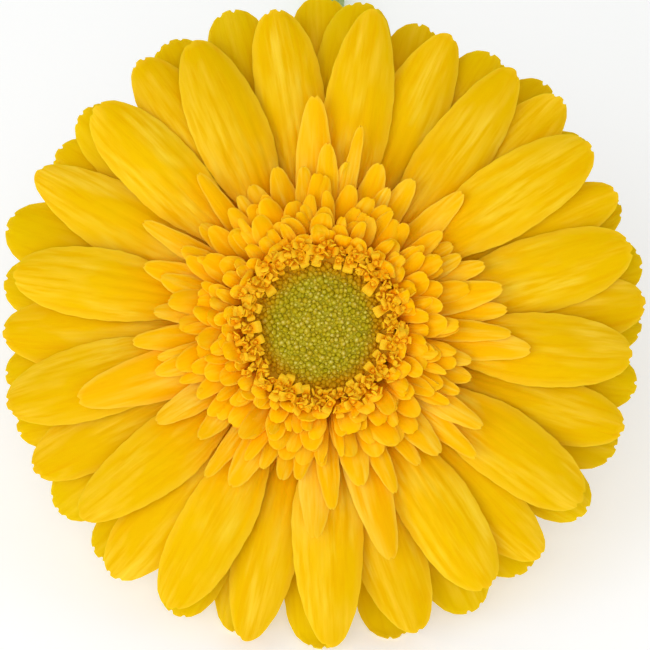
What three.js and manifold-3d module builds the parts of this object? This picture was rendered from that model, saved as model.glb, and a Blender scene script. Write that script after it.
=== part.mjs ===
// A cut mini gerbera lying on a table, in millimetres, +Z up.
//
// The scape lies along +Y on the table and curves up at the neck, so that the face of the
// bloom looks towards -Y and upwards. The florets are placed in the bloom's own frame: an
// angle counted anticlockwise from +X as one looks at the face, a radius from the flower's
// axis, and a height along that axis.
import * as THREE from "three";
import { mergeVertices } from "three/addons/utils/BufferGeometryUtils.js";
import { LoftGeometry } from "three/addons/geometries/LoftGeometry.js";
import Module from "manifold-3d";

const wasm = await Module();
wasm.setup();

const { clamp, degToRad, lerp, smoothstep } = THREE.MathUtils;

// How the flower lies
const faceTilt = degToRad(40); // the face looks this far above the horizon
const bloomCentre = new THREE.Vector3(-0.4, -87.5, 31.9);

// The seat of the florets: a ring for each whorl, all of one size, in a stack
const gap = 0.3; // between neighbouring pieces
const petalThickness = 0.6;
const seatInner = 8;
const seatOuter = 9.4;
const seatPitch = petalThickness + gap;
const lowestSeat = -1.2; // height of the middle of the hindmost ring

// The golden and green centre
const budRadius = 6.6;
const budTop = 8.7; // height of the middle of the dome of buds
const budRim = 7.4; // height of its rim
const crownInner = budRadius + gap;
const crownOuter = seatInner - 0.45;

// The green cup and the scape
const cupTop = lowestSeat - petalThickness / 2 - gap;
const cupBottom = -14;
const scapeLength = 198;
const scapeSides = 10;
const neckRadius = 3;
const neckLength = 12;
const scapeSlimRadius = 2.2;
const scapeFootRadius = 2.7;

const yellow = new THREE.MeshStandardMaterial({ color: 0xf8c60c, roughness: 0.55 });
const palerYellow = new THREE.MeshStandardMaterial({ color: 0xe9bb0a, roughness: 0.55 });
const gold = new THREE.MeshStandardMaterial({ color: 0xffb408, roughness: 0.55 });
const brownGold = new THREE.MeshStandardMaterial({ color: 0xd8921c, roughness: 0.6 });
const budGreen = new THREE.MeshStandardMaterial({ color: 0x93992c, roughness: 0.65 });
const bractGreen = new THREE.MeshStandardMaterial({ color: 0x5f7f32, roughness: 0.6 });
const scapeGreen = new THREE.MeshStandardMaterial({ color: 0x8aa352, roughness: 0.55 });

// Unit vectors of the bloom's frame
const across = new THREE.Vector3(1, 0, 0);
const upward = new THREE.Vector3(0, Math.sin(faceTilt), Math.cos(faceTilt));
const outward = new THREE.Vector3(0, -Math.cos(faceTilt), Math.sin(faceTilt));

// A repeatable number from -1 to 1 for each seed
function scatter(seed) {
  const wave = Math.sin(seed * 127.1 + 311.7) * 43758.5453;
  return 2 * (wave - Math.floor(wave)) - 1;
}

// A point of the bloom: radius and sideways offset in the face, height along the axis
function inBloom(angle, radius, height, sideways = 0) {
  const x = radius * Math.cos(angle) - sideways * Math.sin(angle);
  const y = radius * Math.sin(angle) + sideways * Math.cos(angle);
  return bloomCentre
    .clone()
    .addScaledVector(across, x)
    .addScaledVector(upward, y)
    .addScaledVector(outward, height);
}

// Lays along the table what would reach below the level, and keeps its length
const tableSoftness = 0.45;
const forwardShare = (1 - Math.sin(faceTilt)) / Math.cos(faceTilt);
function overTable(point, level) {
  const depth = (point.z - level) / tableSoftness;
  const height = level + tableSoftness * (depth > 30 ? depth : Math.log1p(Math.exp(depth)));
  point.y -= forwardShare * (height - point.z);
  point.z = height;
  return point;
}

// Closed surfaces are gathered as triangles, each anticlockwise as seen from outside
function quad(faces, a, b, c, d) {
  faces.push(a, b, c, a, c, d);
}

// The bands between loops of equally many points, which run anticlockwise round the axis
function addBands(faces, loops, isOpen = () => false) {
  const count = loops[0].length;
  for (let i = 0; i + 1 < loops.length; i++)
    for (let k = 0; k < count; k++) {
      if (isOpen(i, k)) continue;
      const next = (k + 1) % count;
      quad(faces, loops[i][k], loops[i][next], loops[i + 1][next], loops[i + 1][k]);
    }
}

function addCap(faces, loop, centre, facesUp) {
  loop.forEach((point, k) => {
    const next = loop[(k + 1) % loop.length];
    faces.push(...(facesUp ? [centre, point, next] : [centre, next, point]));
  });
}

function solidOf(geometry) {
  const bare = new THREE.BufferGeometry().setAttribute("position", geometry.attributes.position);
  if (geometry.index) bare.setIndex(geometry.index);
  const { attributes, index } = mergeVertices(bare, 1e-4);
  return new wasm.Manifold(
    new wasm.Mesh({
      numProp: 3,
      vertProperties: attributes.position.array,
      triVerts: new Uint32Array(index.array),
    }),
  );
}

function solidFrom(faces) {
  return solidOf(new THREE.BufferGeometry().setFromPoints(faces));
}

function meshOf(name, solid, material) {
  const { vertProperties, triVerts } = solid.getMesh();
  const geometry = new THREE.BufferGeometry()
    .setAttribute("position", new THREE.BufferAttribute(vertProperties, 3))
    .setIndex(new THREE.BufferAttribute(triVerts, 1));
  geometry.computeVertexNormals();
  const mesh = new THREE.Mesh(geometry, material);
  mesh.name = name;
  return mesh;
}

// The middle surface of a floret, as rows of points from its foot to its tip. The outline
// gives its width along it, as a share of the full width.
function floretGrid({ angle, spine, width, outline, rows, columns, arch, twist, sway, level }) {
  return rows.map((s) => {
    const centre = spine.getPoint(s);
    const tangent = spine.getTangent(s);
    const share = outline(s);
    return columns.map((q) => {
      const flat = (q * width * share) / 2;
      const drop = -arch * share * q * q;
      const turn = twist * s;
      const sideways = flat * Math.cos(turn) - drop * Math.sin(turn) + sway * s * s;
      const lift = flat * Math.sin(turn) + drop * Math.cos(turn);
      const radius = centre.x - tangent.y * lift;
      const height = centre.y + tangent.x * lift;
      return overTable(inBloom(angle, radius, height, sideways), level);
    });
  });
}

// A blade of even thickness round a floret's middle surface, which starts with the given
// corners of its foot
function addBlade(faces, grid, footTop, footBottom) {
  const rows = grid.length;
  const columns = grid[0].length;
  const at = (i, j) => grid[clamp(i, 0, rows - 1)][clamp(j, 0, columns - 1)];
  const face = (side) =>
    grid.map((row, i) =>
      row.map((point, j) => {
        const along = at(i + 1, j).clone().sub(at(i - 1, j));
        const over = at(i, j + 1).clone().sub(at(i, j - 1));
        const normal = along.cross(over).normalize();
        return point.clone().addScaledVector(normal, (side * petalThickness) / 2);
      }),
    );
  const top = [footTop, ...face(1).slice(1)];
  const bottom = [footBottom, ...face(-1).slice(1)];
  const last = columns - 1;
  for (let i = 0; i + 1 < rows; i++) {
    for (let j = 0; j < last; j++) {
      quad(faces, top[i][j], top[i + 1][j], top[i + 1][j + 1], top[i][j + 1]);
      // The same diagonal as on the top
      faces.push(bottom[i][j], bottom[i + 1][j + 1], bottom[i + 1][j]);
      faces.push(bottom[i][j], bottom[i][j + 1], bottom[i + 1][j + 1]);
    }
    quad(faces, top[i][0], bottom[i][0], bottom[i + 1][0], top[i + 1][0]);
    quad(faces, top[i + 1][last], bottom[i + 1][last], bottom[i][last], top[i][last]);
  }
  const tip = rows - 1;
  for (let j = 0; j < last; j++)
    quad(faces, top[tip][j], bottom[tip][j], bottom[tip][j + 1], top[tip][j + 1]);
}

// Florets on one seat, in tiers one above the other. Each grows out of the seat's outer wall
// with a foot of its own, and the tiers are staggered by half a floret.
function whorl({ footWidth, columns, tiers }) {
  const halfFoot = footWidth / 2 / seatOuter;
  const corners = tiers.map(({ florets }, tier) => {
    const angles = florets.flatMap(({ angle }) => columns.map((q) => angle + q * halfFoot));
    return tier % 2 ? [angles.at(-1), ...angles.slice(0, -1)] : angles;
  });
  const count = corners[0].length;
  const loop = (tier, radius, side) => {
    const height = tiers.at(tier).foot + (side * petalThickness) / 2;
    return corners.at(tier).map((angle) => inBloom(angle, radius, height));
  };
  const walls = tiers.flatMap((_, tier) => [loop(tier, seatOuter, -1), loop(tier, seatOuter, 1)]);
  const inside = [loop(0, seatInner, -1), loop(-1, seatInner, 1)];
  const faces = [];
  addBands(faces, [inside[0], ...walls, inside[1], inside[0]], (i, k) => {
    const tier = (i - 1) / 2;
    if (!Number.isInteger(tier) || tier < 0 || tier >= tiers.length) return false;
    return (k + count - (tier % 2)) % columns.length !== columns.length - 1;
  });
  tiers.forEach(({ florets }, tier) =>
    florets.forEach((floret, i) => {
      const first = i * columns.length + (tier % 2);
      const foot = (wall) => columns.map((_, j) => wall[(first + j) % count]);
      const grid = floretGrid({ ...floret, columns });
      addBlade(faces, grid, foot(walls[2 * tier + 1]), foot(walls[2 * tier]));
    }),
  );
  return solidFrom(faces);
}

function bend(from, over, to) {
  return new THREE.QuadraticBezierCurve(
    new THREE.Vector2(...from),
    new THREE.Vector2(...over),
    new THREE.Vector2(...to),
  );
}

// Widths along a floret, as shares of its full width, from its foot at 0 to its tip at 1
function outlineOf({ foot, widest, fullness, tip }) {
  return (s) => {
    const opening = foot + (1 - foot) * smoothstep(s, 0, widest);
    const closing = s < widest ? 1 : 1 - ((s - widest) / (1 - widest)) ** fullness;
    return opening * Math.max(tip, Math.sqrt(Math.max(0, closing)));
  };
}
const rayOutline = outlineOf({ foot: 0.2, widest: 0.7, fullness: 2.4, tip: 0.36 });
const shortOutline = outlineOf({ foot: 0.28, widest: 0.6, fullness: 1.4, tip: 0.16 });
const transOutline = outlineOf({ foot: 0.55, widest: 0.7, fullness: 2.2, tip: 0.4 });

// The ray florets, from the hindmost whorl to the front one. Each ray is the angle in degrees,
// the radius of its tip and, if it passes over its neighbours, how much higher its back is.
const rayWhorls = [
  {
    name: "hind_rays",
    material: palerYellow,
    over: [20, -0.8],
    tipHeight: -3,
    level: 0.31,
    width: 8.4,
    arch: 0.8,
    twist: 5,
    rays: [
      [0, 40.2],
      [22, 40.5],
      [46.5, 41.3],
      [71, 39.8],
      [90, 40.4],
      [118, 40.2],
      [146, 39.4],
      [172, 39.8],
      [199, 39.9],
      [226, 40],
      [255, 40.2],
      [283, 40.5],
      [310, 40.1],
      [337, 40],
    ],
  },
  {
    name: "back_rays",
    material: palerYellow,
    over: [20, 1],
    tipHeight: -0.8,
    level: 1.31,
    width: 8.5,
    arch: 0.85,
    twist: 5,
    rays: [
      [11, 40.8],
      [34, 40.3],
      [57, 40],
      [82, 40.6],
      [106, 40.7],
      [138, 39.7],
      [162, 40.8],
      [189, 39.6],
      [214.5, 39.9],
      [243, 40.2],
      [270, 40.4],
      [298, 40.3],
      [325, 40.4],
      [349, 40.1],
    ],
  },
  {
    name: "middle_rays",
    material: yellow,
    over: [19, 3.3],
    tipHeight: 2,
    level: 2.35,
    width: 8.8,
    arch: 1,
    twist: 5,
    rays: [
      [4, 40.3],
      [24, 40.2],
      [43, 41],
      [66, 39.4],
      [98, 39.5],
      [124, 39.7],
      [151.5, 39.9],
      [181, 39.2],
      [206.5, 39.6],
      [230, 40.2],
      [256.5, 40.1],
      [287.5, 39.6],
      [313.5, 39.4],
      [341, 39.6],
    ],
  },
  {
    name: "front_rays",
    material: yellow,
    over: [18, 6],
    tipHeight: 4.7,
    level: 3.4,
    width: 9.4,
    arch: 1.2,
    twist: 3,
    rays: [
      [14, 39.5, -0.3],
      [33.6, 40, 1.7],
      [52.8, 39.5],
      [80.3, 39.4],
      [114, 38.4],
      [135.5, 38.6],
      [170, 38.2],
      [194, 39.6],
      [218.5, 37.6],
      [241.5, 39.2],
      [272, 39.5],
      [302.5, 38.2],
      [326, 38.8],
      [354.5, 38.5, 1.2],
    ],
  },
];

function rayWhorl({ name, material, over, tipHeight, level, width, arch, twist, rays }, at) {
  const foot = lowestSeat + at * seatPitch;
  const florets = rays.map(([degrees, tip, lift = 0], i) => {
    const seed = 100 * (at + 1) + i;
    return {
      angle: degToRad(degrees),
      spine: bend(
        [seatOuter, foot],
        [over[0], over[1] + lift],
        [tip, tipHeight + 0.5 * lift + 0.3 * scatter(seed)],
      ),
      width: width * (1 + 0.04 * scatter(seed + 0.1)),
      outline: rayOutline,
      rows: [0, 0.2, 0.42, 0.66, 0.84, 0.95, 1],
      arch,
      twist: degToRad(twist),
      sway: 0.4 * scatter(seed + 0.2),
      level,
    };
  });
  const solid = whorl({ footWidth: 1.7, columns: [-1, 0, 1], tiers: [{ foot, florets }] });
  return meshOf(name, solid, material);
}

// The short, pointed rays over the feet of the large ones: angle, radius of the tip, width
const shortRays = [
  [5, 23.2, 3.4],
  [17.5, 22, 3.6],
  [31, 19.4, 3.2],
  [44.5, 23.8, 3.8],
  [57.5, 21.2, 3.4],
  [71, 22.6, 3.6],
  [84, 23.4, 3.6],
  [97.5, 27, 4.2],
  [111.5, 19.6, 3.4],
  [124, 23.4, 3.4],
  [141, 20, 3.2],
  [154, 25.2, 3.6],
  [167, 21.5, 3.4],
  [181, 23, 4],
  [196.5, 31, 6.2],
  [212, 23.4, 3.8],
  [226, 22, 3.6],
  [240, 23, 4],
  [254, 19.6, 3.4],
  [268, 26, 4.4],
  [286, 30, 5.4],
  [300, 22, 3.4],
  [313, 22.4, 4],
  [327, 24.4, 3.8],
  [340, 19.6, 3.2],
  [352.5, 26, 4],
];
const shortFoot = lowestSeat + rayWhorls.length * seatPitch;

function shortRayWhorl() {
  const florets = shortRays.map(([degrees, tip, width], i) => ({
    angle: degToRad(degrees),
    spine: bend([seatOuter, shortFoot], [13, 5.1 + 0.6 * (i % 2)], [tip, 6.5 + 0.05 * (tip - 18)]),
    width,
    outline: shortOutline,
    rows: [0, 0.35, 0.7, 1],
    arch: width * 0.09,
    twist: degToRad(8) * scatter(500.2 + i),
    sway: 0.3 * scatter(500.4 + i),
    level: 4.4,
  }));
  const tiers = [{ foot: shortFoot, florets }];
  const solid = whorl({ footWidth: 1.1, columns: [-1, 0, 1], tiers });
  return meshOf("short_rays", solid, yellow);
}

// The golden trans florets, tier by tier from the outermost: radius and height of the tips
const transPerTier = 26;
const transTips = [
  [17.6, 7.3],
  [16, 8.1],
  [14.4, 8.8],
  [12.9, 9.4],
  [11.4, 10],
];

function transFlorets() {
  const step = (2 * Math.PI) / transPerTier;
  const tiers = transTips.map(([tipRadius, tipHeight], tier) => {
    const foot = shortFoot + (tier + 1) * seatPitch;
    const florets = Array.from({ length: transPerTier }, (_, i) => {
      const seed = 1000 * (tier + 1) + i;
      const tip = [tipRadius + 0.5 * scatter(seed), tipHeight + 0.12 * scatter(seed + 0.5)];
      const over = [lerp(seatOuter, tip[0], 0.38), lerp(foot, tip[1], 0.9)];
      return {
        angle: (i + 0.5 * (tier % 2)) * step,
        spine: bend([seatOuter, foot], over, tip),
        width: 2.4 - 0.2 * tier,
        outline: transOutline,
        rows: [0, 0.6, 1],
        arch: 0,
        twist: 0,
        sway: 0.2 * scatter(seed + 0.9),
        level: 5,
      };
    });
    return { foot, florets };
  });
  const solid = whorl({ footWidth: 1.1, columns: [-1, 1], tiers });
  return meshOf("trans_florets", solid, gold);
}

// Loops of a surface that is ribbed round the axis. Each loop gives radius and height on the
// even columns, and then on the odd ones if they differ.
function ribbedLoops(outline, count) {
  return outline.map((places) =>
    Array.from({ length: count }, (_, k) => {
      const [radius, height] = places[k % places.length];
      return inBloom((2 * Math.PI * k) / count, radius, height);
    }),
  );
}

// The crown of open disc florets: rows of small lips that alternate round the buds
const crownColumns = 44;
const crownTop = [
  [
    [9.7, 9.2],
    [8.8, 8.5],
  ],
  [
    [9, 8.9],
    [9, 9.9],
  ],
  [
    [8.3, 9.9],
    [8.3, 9],
  ],
  [
    [7.6, 8.8],
    [7.6, 9.6],
  ],
];

function discCrown() {
  const bottom = cupTop + gap;
  const outline = [
    [[crownInner, bottom]],
    [[crownOuter, bottom]],
    [[crownOuter, 7.9]],
    ...crownTop,
    [[crownInner, 8]],
    [[crownInner, bottom]],
  ];
  const faces = [];
  addBands(faces, ribbedLoops(outline, crownColumns));
  return meshOf("open_disc_florets", solidFrom(faces), brownGold);
}

// The closed buds: a dome laid out on six triangles, with every third point raised into a bud
const budRings = 12;
const budRise = 0.3;

function budDome() {
  const rings = Array.from({ length: budRings + 1 }, (_, ring) =>
    Array.from({ length: Math.max(1, 6 * ring) }, (_, j) => {
      const share = ring / budRings;
      const isBud = ring < budRings && (ring + (j % ring || 0)) % 3 === 0;
      const height = budTop - (budTop - budRim) * share ** 2 + (isBud ? budRise : -budRise / 2);
      return inBloom(ring ? (Math.PI * j) / (3 * ring) : 0, budRadius * share, height);
    }),
  );
  const faces = [];
  for (let ring = 1; ring <= budRings; ring++)
    for (let sector = 0; sector < 6; sector++)
      for (let step = 0; step < ring; step++) {
        const outer = (k) => rings[ring][(sector * ring + k) % (6 * ring)];
        const inner = (k) => rings[ring - 1][(sector * (ring - 1) + k) % rings[ring - 1].length];
        faces.push(inner(step), outer(step), outer(step + 1));
        if (step + 1 < ring) faces.push(inner(step), outer(step + 1), inner(step + 1));
      }
  // The plug below the dome, down to the cup
  const rim = rings[budRings];
  const base = rim.map((_, j) => inBloom((2 * Math.PI * j) / rim.length, budRadius, cupTop + gap));
  addBands(faces, [base, rim]);
  addCap(faces, base, inBloom(0, 0, cupTop + gap), false);
  return meshOf("disc_buds", solidFrom(faces), budGreen);
}

// The involucre: a cup with three rows of pointed bracts, staggered, each over the next
const bractsPerRow = 14;
const bractThickness = 0.7;
const bractRows = [
  { middle: [6.6, -12.1], tip: [9.2, -9], notch: [8.1, -10.6] },
  { middle: [9.2, -8.2], tip: [10.9, -5.6], notch: [9.9, -7.2] },
  { middle: [10.5, -4.9], tip: [11.7, -2.6], notch: [10.8, -3.9] },
];

function involucre() {
  const inwards = ([radius, height]) => [radius - bractThickness, height - 0.2];
  const rows = bractRows.flatMap(({ middle, tip, notch }, row) => {
    const edge = row % 2 ? [notch, tip] : [tip, notch];
    return [[middle], edge, edge.map(inwards)];
  });
  const outline = [[[3.4, cupBottom]], ...rows, [[9.8, cupTop]]];
  const loops = ribbedLoops(outline, 2 * bractsPerRow);
  const faces = [];
  addBands(faces, loops);
  addCap(faces, loops[0], inBloom(0, 0, cupBottom), false);
  addCap(faces, loops.at(-1), inBloom(0, 0, cupTop), true);
  return meshOf("involucre", solidFrom(faces), bractGreen);
}

// The scape: from the cup's underside through the bent neck, then along the table on one of
// its flat sides, with a slight curve and a slanting cut
const scapeSteps = 24;
const scapeSway = 5;
const cutSlope = 0.8;
const flatShare = Math.cos(Math.PI / scapeSides); // how far out a flat side is, in radii

function scape() {
  const top = inBloom(0, 0, cupBottom - gap);
  const bendRadius = (top.z - scapeSlimRadius * flatShare) / (1 - Math.cos(faceTilt));
  const bendLength = bendRadius * faceTilt;
  const lyingShare = (length) => Math.max(0, (length - bendLength) / (scapeLength - bendLength));
  const thickening = (length) => (scapeFootRadius - scapeSlimRadius) * lyingShare(length);
  const radiusAt = (length) => {
    const flare = (neckRadius - scapeSlimRadius) * Math.max(0, 1 - length / neckLength) ** 2;
    return scapeSlimRadius + flare + thickening(length);
  };
  const centreAt = (length) => {
    const steepness = Math.max(0, faceTilt - length / bendRadius);
    const share = lyingShare(length);
    return new THREE.Vector3(
      top.x + scapeSway * share * Math.sin(2.4 * share),
      top.y + bendRadius * (Math.sin(faceTilt) - Math.sin(steepness)) + Math.max(0, length - bendLength),
      bendRadius * (1 - Math.cos(steepness)) + (scapeSlimRadius + thickening(length)) * flatShare,
    );
  };
  const sections = Array.from({ length: scapeSteps + 1 }, (_, i) => {
    const length = (scapeLength * i) / scapeSteps;
    const ahead = centreAt(Math.min(scapeLength, length + 1));
    const forward = ahead.sub(centreAt(Math.max(0, length - 1)));
    if (length > bendLength) forward.z = 0;
    forward.normalize();
    const aside = new THREE.Vector3(-forward.y, forward.x, 0).normalize();
    const up = new THREE.Vector3().crossVectors(forward, aside);
    return Array.from({ length: scapeSides }, (_, k) => {
      const angle = ((k + 0.5) * 2 * Math.PI) / scapeSides - Math.PI / 2;
      const point = centreAt(length)
        .addScaledVector(aside, radiusAt(length) * Math.cos(angle))
        .addScaledVector(up, radiusAt(length) * Math.sin(angle));
      if (i === scapeSteps) point.y -= cutSlope * point.z;
      return point;
    });
  });
  const geometry = new LoftGeometry(sections, { capStart: true, capEnd: true });
  return meshOf("scape", solidOf(geometry), scapeGreen);
}

const gerbera = new THREE.Group();
gerbera.name = "cut_mini_gerbera";
gerbera.add(
  scape(),
  involucre(),
  ...rayWhorls.map(rayWhorl),
  shortRayWhorl(),
  transFlorets(),
  discCrown(),
  budDome(),
);

export default gerbera;
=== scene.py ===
import math

import bmesh
import bpy
import numpy as np
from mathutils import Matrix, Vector


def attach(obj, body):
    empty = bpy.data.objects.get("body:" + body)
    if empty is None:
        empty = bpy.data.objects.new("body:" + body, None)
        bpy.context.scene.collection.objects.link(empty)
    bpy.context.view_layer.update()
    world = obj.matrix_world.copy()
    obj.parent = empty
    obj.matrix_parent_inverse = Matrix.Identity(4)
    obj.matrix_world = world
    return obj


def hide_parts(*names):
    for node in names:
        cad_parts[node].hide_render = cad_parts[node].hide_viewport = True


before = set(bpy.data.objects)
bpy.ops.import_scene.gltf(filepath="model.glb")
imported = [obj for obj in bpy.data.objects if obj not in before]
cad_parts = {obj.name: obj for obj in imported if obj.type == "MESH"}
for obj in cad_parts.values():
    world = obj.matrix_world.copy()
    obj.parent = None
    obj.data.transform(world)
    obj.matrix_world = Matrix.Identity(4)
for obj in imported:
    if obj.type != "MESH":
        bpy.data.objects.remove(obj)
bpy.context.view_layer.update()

# Lengths are in millimetres and are turned to metres where a mesh gets its place
mm = 0.001

# Where the bloom is and how it faces, as in the CAD part
bloom = {
    "tilt": math.radians(40),  # the face looks this far above the horizon
    "centre": (-0.4, -87.5, 31.9),
    "seatRadius": 9.4,  # the florets' feet
    "lowestSeat": -1.2,
    "seatPitch": 0.9,
    "tableSoftness": 0.45,
}
bloomCentre = np.array(bloom["centre"])
across = np.array((1, 0, 0))
upward = np.array((0, math.sin(bloom["tilt"]), math.cos(bloom["tilt"])))
outward = np.array((0, -math.cos(bloom["tilt"]), math.sin(bloom["tilt"])))


def scatter(seed):
    # a repeatable number from -1 to 1
    wave = math.sin(seed * 127.1 + 311.7) * 43758.5453
    return 2 * (wave - math.floor(wave)) - 1


middleTint = 20  # each blade's own number lies from 0 to twice this


def ownTint(seed):
    # shifts a blade's streaks and its tone
    return middleTint + middleTint * scatter(seed)


def inBloom(angle, radius, height, sideways=0):
    # an angle and a radius in the face, a height along the flower's axis
    x = radius * np.cos(angle) - sideways * np.sin(angle)
    y = radius * np.sin(angle) + sideways * np.cos(angle)
    height = height + 0 * x
    return bloomCentre + np.outer(x, across) + np.outer(y, upward) + np.outer(height, outward)


def overTable(points, level):
    # lays along the table what would reach below the level
    softness = bloom["tableSoftness"]
    forward = (1 - math.sin(bloom["tilt"])) / math.cos(bloom["tilt"])
    height = level + softness * np.logaddexp(0, (points[:, 2] - level) / softness)
    laid = points.copy()
    laid[:, 1] -= forward * (height - points[:, 2])
    laid[:, 2] = height
    return laid


# Modelling helpers


def pick(piece, isWanted, kind="verts"):
    # in edit mode, selects only the points or edges at the wanted places
    mesh = bmesh.from_edit_mesh(piece.data)
    for part in (mesh.verts, mesh.edges, mesh.faces):
        for item in part:
            item.select = False
    for item in getattr(mesh, kind):
        places = [item.co] if kind == "verts" else [v.co for v in item.verts]
        if all(isWanted(place) for place in places):
            item.select_set(True)
    bmesh.update_edit_mesh(piece.data)


def slide(value, reach=0, falloff="SMOOTH"):
    # moves what is selected, and what is within reach of it
    bpy.ops.transform.translate(
        value=value,
        use_proportional_edit=reach > 0,
        proportional_edit_falloff=falloff,
        proportional_size=max(reach, 0.001),
    )


def pointsOf(mesh):
    points = np.empty(3 * len(mesh.vertices))
    mesh.vertices.foreach_get("co", points)
    return points.reshape(-1, 3)


def mark(mesh, name, values):
    # a number for each point, which the materials read
    attribute = mesh.attributes.get(name) or mesh.attributes.new(name, "FLOAT", "POINT")
    attribute.data.foreach_set("value", np.broadcast_to(values, len(mesh.vertices)).astype(np.float32))


def linked(name, data):
    piece = bpy.data.objects.new(name, data)
    bpy.context.collection.objects.link(piece)
    return piece


def copyOf(template, points, **marks):
    mesh = template.data.copy()
    mesh.vertices.foreach_set("co", (points * mm).ravel())
    for name, values in marks.items():
        mark(mesh, name, values)
    return linked(template.name, mesh)


def selectOnly(*pieces):
    # the first piece becomes the active one
    bpy.ops.object.select_all(action="DESELECT")
    for piece in pieces:
        piece.select_set(True)
    if pieces:
        bpy.context.view_layer.objects.active = pieces[0]


def started(add, **settings):
    # a new shape from one of Blender's own, with the scene's origin
    selectOnly()
    add(**settings)
    bpy.ops.object.transform_apply(location=True)
    return bpy.context.object


def applyModifier(kind, **settings):
    bpy.ops.object.modifier_add(type=kind)
    modifier = bpy.context.object.modifiers[-1]
    for name, value in settings.items():
        setattr(modifier, name, value)
    bpy.ops.object.modifier_apply(modifier=modifier.name)


def joined(name, copies, thickness=0):
    # one piece of many copies, whose sheets get a thickness
    selectOnly(*copies)
    bpy.ops.object.join()
    piece = bpy.context.object
    piece.name = name
    piece.data.name = name
    if thickness:
        applyModifier("SOLIDIFY", thickness=thickness * mm, offset=0)
    return piece


def finishPiece(piece, material, slot, *nodes):
    selectOnly(piece)
    bpy.ops.object.shade_smooth_by_angle(angle=math.radians(50))
    if material:
        piece.data.materials.clear()
        piece.data.materials.append(material)
    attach(piece, "root")
    if nodes:
        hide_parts(*nodes)
    print("made", piece.name, len(piece.data.polygons), "faces")


# Materials


def colour(code):
    # an sRGB hex value as linear light
    parts = [int(code[at : at + 2], 16) / 255 for at in (1, 3, 5)]
    linear = [c / 12.92 if c <= 0.04045 else ((c + 0.055) / 1.055) ** 2.4 for c in parts]
    return (*linear, 1)


def setInputs(tree, node, inputs):
    # sets a value, or links an output; a node stands for its first output
    for socket, value in inputs.items():
        if isinstance(value, bpy.types.Node):
            value = value.outputs[0]
        if isinstance(value, bpy.types.NodeSocket):
            tree.links.new(value, node.inputs[socket])
        else:
            node.inputs[socket].default_value = value


def addNode(tree, kind, inputs=None, **settings):
    node = tree.nodes.new(kind)
    for name, value in settings.items():
        setattr(node, name, value)
    setInputs(tree, node, inputs or {})
    return node


def setStops(elements, stops):
    while len(elements) < len(stops):
        elements.new(0.5)
    for element, (position, code) in zip(elements, stops):
        element.position = position
        element.color = colour(code)


def newMaterial(name):
    material = bpy.data.materials.new(name)
    material.use_nodes = True
    tree = material.node_tree
    tree.nodes.clear()
    skin = addNode(tree, "ShaderNodeBsdfPrincipled")
    addNode(tree, "ShaderNodeOutputMaterial", {"Surface": skin})
    return material, tree, skin


# Thin, matt petal tissue, through which light shines: streaked along its veins. The pale patches are painted
# sheen, broken into streaks that are partly the tissue's own lighter streaks, and the pale margins and tips
# are a painted highlight. Real veins are too fine to show, so the streaks are drawn about twice as wide
petals = {
    "patches": (0.44, 0.66),  # the noise where they begin and where they are full
    "paleStreaks": (0.36, 0.68),
    "deepStreaks": (0.49, 0.27),
    "margins": (0.75, 1),
    "tones": (0.95, 1.03),  # from the darkest blade to the palest
    "roughness": 0.55,
    "ior": 1.42,
    "gloss": 0.02,
    "lightInside": (1, 0.9, 0.2),
    "lightDepth": 0.4,
}


def petalTissue(name, finish):
    material, tree, skin = newMaterial(name)
    place = addNode(tree, "ShaderNodeTexCoord").outputs["UV"]
    alongBlade = addNode(tree, "ShaderNodeSeparateXYZ", {0: place}).outputs["Y"]
    tint = addNode(tree, "ShaderNodeAttribute", attribute_name="tint")
    margin = addNode(tree, "ShaderNodeAttribute", attribute_name="margin").outputs["Fac"]

    def noiseOver(width, length, detail):
        # noise drawn out along the blade, and different on each one
        counts = (finish["width"] / width, finish["length"] / length, 0)
        shifted = {0: place, 1: counts, 2: tint.outputs["Vector"]}
        stretched = addNode(tree, "ShaderNodeVectorMath", shifted, operation="MULTIPLY_ADD")
        noise = {"Vector": stretched, "Scale": 1, "Detail": detail, "Roughness": 0.55}
        return addNode(tree, "ShaderNodeTexNoise", noise)

    streaks = noiseOver(finish["veinSpacing"], finish["streakLength"], 3)
    patches = noiseOver(finish["patchWidth"], finish["patchLength"], 2)
    masks = []
    for source, (start, full), share in (
        (patches, petals["patches"], 1),
        (streaks, petals["paleStreaks"], finish["paleShare"]),
        (margin, petals["margins"], finish["marginHighlightShare"]),
        (streaks, petals["deepStreaks"], finish["deepShare"]),
    ):
        limits = {"Value": source, "From Min": start, "From Max": full, "To Max": share}
        masks.append(addNode(tree, "ShaderNodeMapRange", limits))
    # painted sheen where the pale patches meet the pale streaks, and a painted highlight along the thin
    # margins and the tip
    sheenPatch, paleStreak, marginHighlight, deep = masks
    pale = addNode(tree, "ShaderNodeMath", {0: sheenPatch, 1: paleStreak}, operation="MULTIPLY")
    sheenAndHighlight = addNode(tree, "ShaderNodeMath", {0: pale, 1: marginHighlight}, operation="MAXIMUM")
    body = addNode(tree, "ShaderNodeValToRGB", {"Fac": alongBlade})
    setStops(body.color_ramp.elements, finish["along"])
    for share, code in ((sheenAndHighlight, finish["pale"]), (deep, finish["deep"])):
        layers = {0: share, 6: body, 7: colour(code)}
        body = addNode(tree, "ShaderNodeMix", layers, data_type="RGBA").outputs[2]
    darkest, palest = petals["tones"]
    tones = {"Value": tint.outputs["Fac"], "From Max": 2 * middleTint, "To Min": darkest, "To Max": palest}
    tone = addNode(tree, "ShaderNodeMapRange", tones)
    relief = {"Height": streaks, "Strength": 0.6, "Distance": finish["relief"] * mm}
    values = {
        "Base Color": addNode(tree, "ShaderNodeHueSaturation", {"Color": body, "Value": tone}),
        "Normal": addNode(tree, "ShaderNodeBump", relief),
        "Roughness": petals["roughness"],
        "IOR": petals["ior"],
        "Specular IOR Level": petals["gloss"],
        "Subsurface Weight": finish["glow"],
        "Subsurface Radius": petals["lightInside"],
        "Subsurface Scale": petals["lightDepth"] * mm,
    }
    setInputs(tree, skin, values)
    return material
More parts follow.
